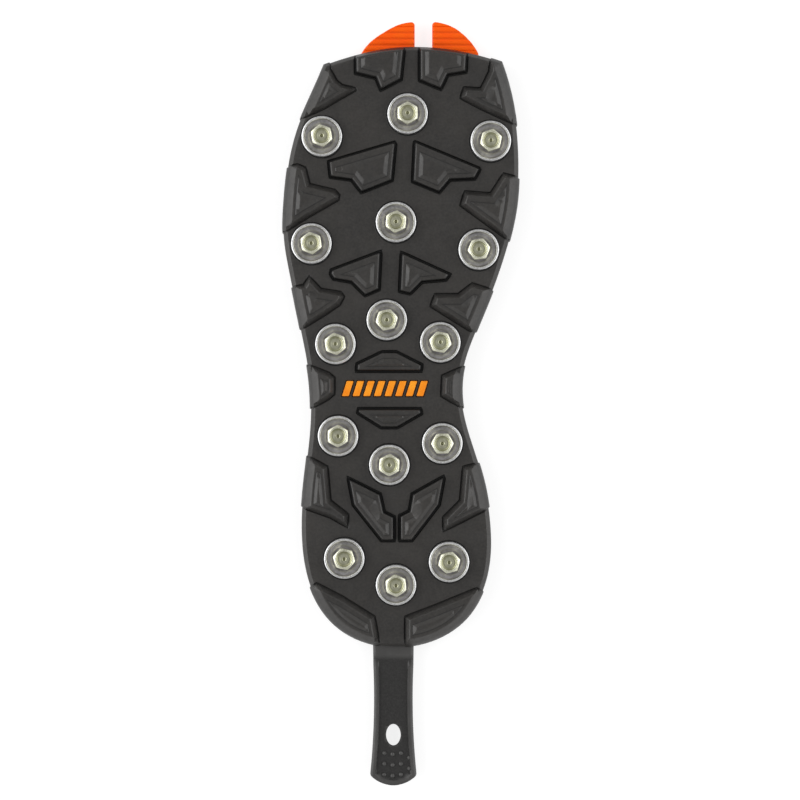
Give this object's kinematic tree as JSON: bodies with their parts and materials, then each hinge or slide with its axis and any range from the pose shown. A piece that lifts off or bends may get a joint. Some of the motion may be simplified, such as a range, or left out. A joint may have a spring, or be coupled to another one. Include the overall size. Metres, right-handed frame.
{
  "type": "interchangeable studded boot outsole",
  "caption": "Clip-on rubber boot outsole for the right foot, with a lugged tread, screwed-on aluminium traction discs, two toe prongs and a sprung heel strap.",
  "frame": {"origin": "centre of the overall outline, on the boot face that lies on the ground with the tread up", "axes": "+Y from heel to toe, +Z out of the tread, +X to the inner (arch) side of the right foot"},
  "size_m": [0.1191, 0.3833, 0.0175],
  "materials": {
    "rubber_black": "matt moulded rubber, slightly burnished on the raised edges",
    "strap_black": "satin moulded elastomer",
    "nylon_black": "fine spark-eroded texture",
    "tpu_orange": "satin orange elastomer",
    "badge_orange": "satin amber orange elastomer",
    "disc_aluminium": "turned aluminium with a bright rim",
    "screw_steel": "zinc-plated steel with a faint yellow tint",
    "insert_steel": "plain zinc-plated steel"
  },
  "bodies": {
    "sole": {"outsole": "rubber_black", "carrier_plate": "nylon_black", "toe_clip_base": "tpu_orange", "heel_strap_anchor": "strap_black", "arch_badge": "badge_orange", "traction_disc_01": "disc_aluminium", "stud_screw_01": "screw_steel", "stud_insert_01": "insert_steel", "traction_disc_02": "disc_aluminium", "stud_screw_02": "screw_steel", "stud_insert_02": "insert_steel", "traction_disc_03": "disc_aluminium", "stud_screw_03": "screw_steel", "stud_insert_03": "insert_steel", "traction_disc_04": "disc_aluminium", "stud_screw_04": "screw_steel", "stud_insert_04": "insert_steel", "traction_disc_05": "disc_aluminium", "stud_screw_05": "screw_steel", "stud_insert_05": "insert_steel", "traction_disc_06": "disc_aluminium", "stud_screw_06": "screw_steel", "stud_insert_06": "insert_steel", "traction_disc_07": "disc_aluminium", "stud_screw_07": "screw_steel", "stud_insert_07": "insert_steel", "traction_disc_08": "disc_aluminium", "stud_screw_08": "screw_steel", "stud_insert_08": "insert_steel", "traction_disc_09": "disc_aluminium", "stud_screw_09": "screw_steel", "stud_insert_09": "insert_steel", "traction_disc_10": "disc_aluminium", "stud_screw_10": "screw_steel", "stud_insert_10": "insert_steel", "traction_disc_11": "disc_aluminium", "stud_screw_11": "screw_steel", "stud_insert_11": "insert_steel", "traction_disc_12": "disc_aluminium", "stud_screw_12": "screw_steel", "stud_insert_12": "insert_steel", "traction_disc_13": "disc_aluminium", "stud_screw_13": "screw_steel", "stud_insert_13": "insert_steel", "traction_disc_14": "disc_aluminium", "stud_screw_14": "screw_steel", "stud_insert_14": "insert_steel", "traction_disc_15": "disc_aluminium", "stud_screw_15": "screw_steel", "stud_insert_15": "insert_steel"},
    "heel_strap": {"heel_strap": "strap_black"},
    "toe_prong_outer": {"toe_prong_outer": "tpu_orange"},
    "toe_prong_inner": {"toe_prong_inner": "tpu_orange"}
  },
  "joints": [
    {"name": "heel_strap_bend", "type": "hinge", "parent": "sole", "child": "heel_strap", "pos_m": [-0.0037, -0.127, 0.0052], "axis": [1, 0, 0], "range_deg": [-60, 90], "stiffness_Nm_per_rad": 0.15},
    {"name": "toe_prong_outer_flex", "type": "hinge", "parent": "sole", "child": "toe_prong_outer", "pos_m": [-0.00645, 0.172, 0.0047], "axis": [1, 0, 0], "range_deg": [-10, 10], "stiffness_Nm_per_rad": 1.5},
    {"name": "toe_prong_inner_flex", "type": "hinge", "parent": "sole", "child": "toe_prong_inner", "pos_m": [0.02745, 0.172, 0.0047], "axis": [1, 0, 0], "range_deg": [-10, 10], "stiffness_Nm_per_rad": 1.5}
  ]
}
